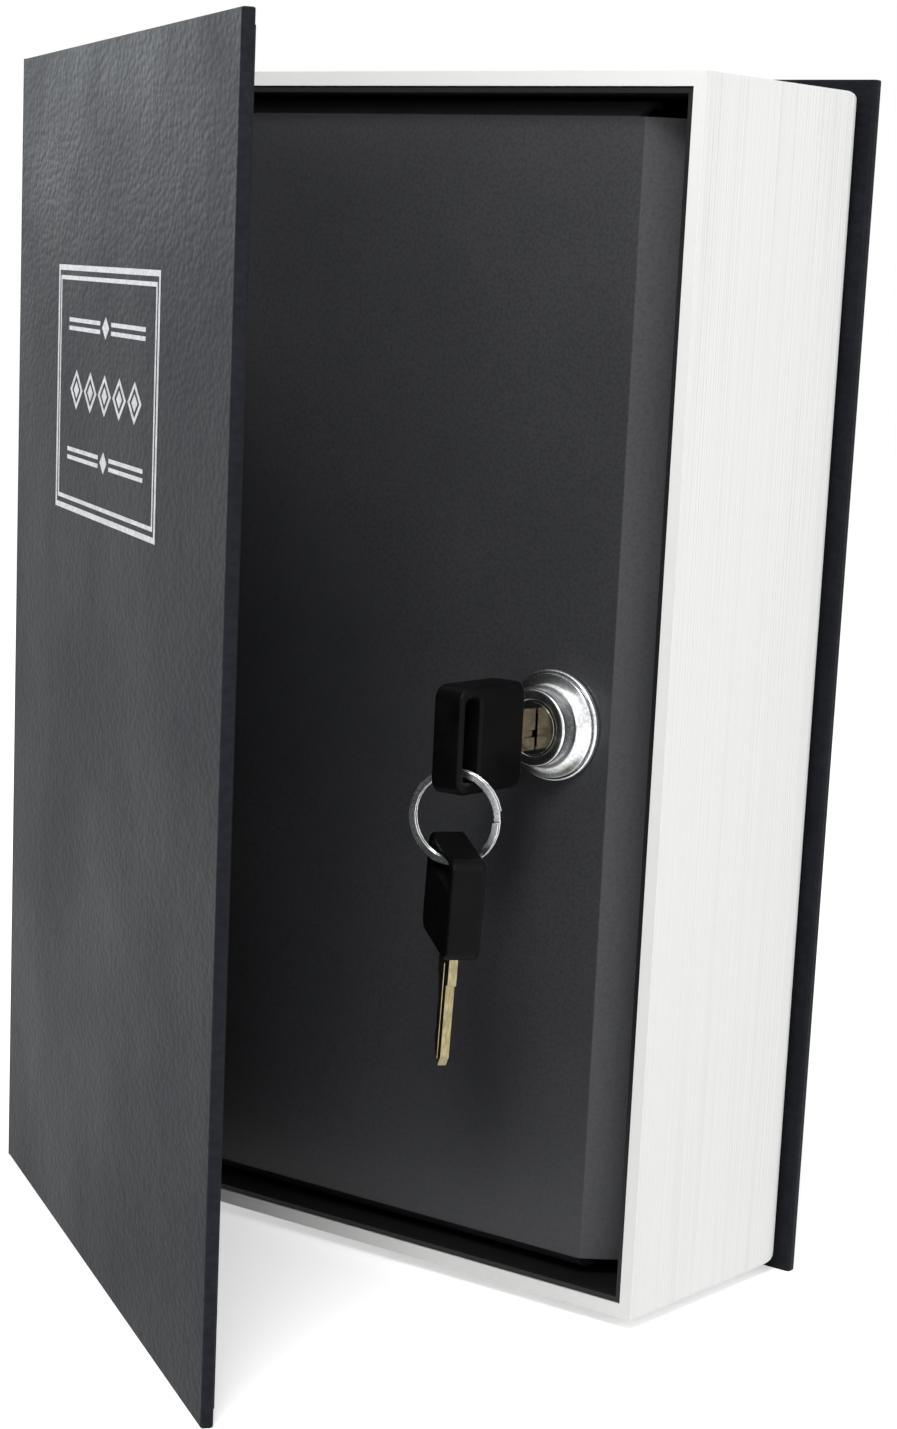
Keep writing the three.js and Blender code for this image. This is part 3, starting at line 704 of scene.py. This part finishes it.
def turnedPiece(node, profile, shape):
    low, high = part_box("lock_body")
    middle = (low + high) / 2
    bm = bmesh.new()
    first = bm.verts.new((profile[0][0] * mm, profile[0][1] * mm, 0.0))
    tip = first
    for radius, depth in profile[1:]:
        tip = lineTo(bm, tip, (radius * mm, depth * mm, 0.0))
    bm.edges.new((tip, first))
    bmesh.ops.spin(bm, geom=bm.verts[:] + bm.edges[:], cent=(0, 0, 0), axis=(0, 1, 0),
                   angle=2 * math.pi, steps=shape["steps"], use_merge=True)
    bmesh.ops.remove_doubles(bm, verts=bm.verts, dist=mergeDistance)
    bmesh.ops.recalc_face_normals(bm, faces=bm.faces)
    bevelSharp(bm, shape["edge"], shape["segments"], shape["sharpest"])
    bmesh.ops.translate(bm, verts=bm.verts, vec=(middle.x, low.y, middle.z))
    title = node + "_turned"
    piece = addPiece(title, toMesh(bm, title), "door", "brightChrome")
    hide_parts(node)


turnedPiece("lock_body", lockShape["body"], lockShape)
turnedPiece("lock_bezel", lockShape["bezel"], lockShape)
print("lock made")


# Key heads: moulded, with a rounded edge round each broad face and the slot
keyHeadEdge = 0.3 * mm
for node in ("key_head", "spare_key_head"):
    softened(node, keyHeadEdge)
print("keys made")


# Floor, world and lamps
studio = {
    "floorSize": 6.0, "floorColour": (0.80, 0.80, 0.80), "floorRough": 0.9, "floorSpecular": 0.1,
    "floorGlow": 0.5, "white": (1.0, 1.0, 1.0), "worldLevel": 0.64,
    "lamps": {
        "keyLamp": {"place": (0.45, -0.8, 1.1), "aim": (0.02, 0.0, 0.15), "size": 0.4,
                    "power": 11.5, "colour": (1.0, 1.0, 1.0)},
        "sideLamp": {"place": (1.1, -0.2, 0.6), "aim": (0.0, 0.0, 0.13), "size": 0.6,
                     "power": 1.4, "colour": (1.0, 1.0, 1.0)},
        "sheenLamp": {"place": (-1.3, 0.46, 0.46), "aim": (0.0, 0.0, 0.22), "size": 0.35,
                      "power": 2.3, "colour": (0.88, 0.94, 1.0)},
    },
}


def isShown(tree):
    # 1 for rays from the camera and for those that a glossy or clear surface sends on
    path = tree.nodes.new("ShaderNodeLightPath")
    camera, glossy = path.outputs["Is Camera Ray"], path.outputs["Is Glossy Ray"]
    shown = mathNode(tree, "MAXIMUM", camera, glossy)
    return mathNode(tree, "MAXIMUM", shown, path.outputs["Is Transmission Ray"])


def makeFloor(settings):
    bm = bmesh.new()
    bmesh.ops.create_grid(bm, x_segments=1, y_segments=1, size=settings["floorSize"] / 2)
    floor = bpy.data.objects.new("studioFloor", toMesh(bm, "studioFloor"))
    bpy.context.scene.collection.objects.link(floor)
    material, tree, shader = newMaterial("floorPaper")
    shader.inputs["Base Color"].default_value = (*settings["floorColour"], 1.0)
    shader.inputs["Roughness"].default_value = settings["floorRough"]
    shader.inputs["Specular IOR Level"].default_value = settings["floorSpecular"]
    glow = tree.nodes.new("ShaderNodeEmission")
    glow.inputs["Color"].default_value = (*settings["white"], 1.0)
    strength = mathNode(tree, "MULTIPLY", isShown(tree), settings["floorGlow"])
    tree.links.new(strength, glow.inputs["Strength"])
    total = tree.nodes.new("ShaderNodeAddShader")
    tree.links.new(shader.outputs[0], total.inputs[0])
    tree.links.new(glow.outputs[0], total.inputs[1])
    tree.links.new(total.outputs[0], tree.nodes["Material Output"].inputs["Surface"])
    floor.data.materials.append(material)


def makeWorld(settings):
    # white where it is seen, and the world's own level where it lights the object
    world = bpy.data.worlds.new("plainWorld")
    bpy.context.scene.world = world
    world.use_nodes = True
    tree = world.node_tree
    background = tree.nodes["Background"]
    background.inputs["Color"].default_value = (*settings["white"], 1.0)
    missing = mathNode(tree, "MULTIPLY", isShown(tree), 1.0 - settings["worldLevel"])
    level = mathNode(tree, "ADD", missing, settings["worldLevel"])
    tree.links.new(level, background.inputs["Strength"])


def makeLamp(name, lamp):
    data = bpy.data.lights.new(name, "AREA")
    data.size = lamp["size"]
    data.energy = lamp["power"]
    data.color = lamp["colour"]
    light = bpy.data.objects.new(name, data)
    bpy.context.scene.collection.objects.link(light)
    aim = Vector(lamp["aim"]) - Vector(lamp["place"])
    turn = aim.to_track_quat("-Z", "Y").to_matrix().to_4x4()
    light.matrix_world = Matrix.Translation(lamp["place"]) @ turn


makeFloor(studio)
makeWorld(studio)
for name, lamp in studio["lamps"].items():
    makeLamp(name, lamp)
bpy.context.scene.view_settings.view_transform = "Standard"
print("studio set")
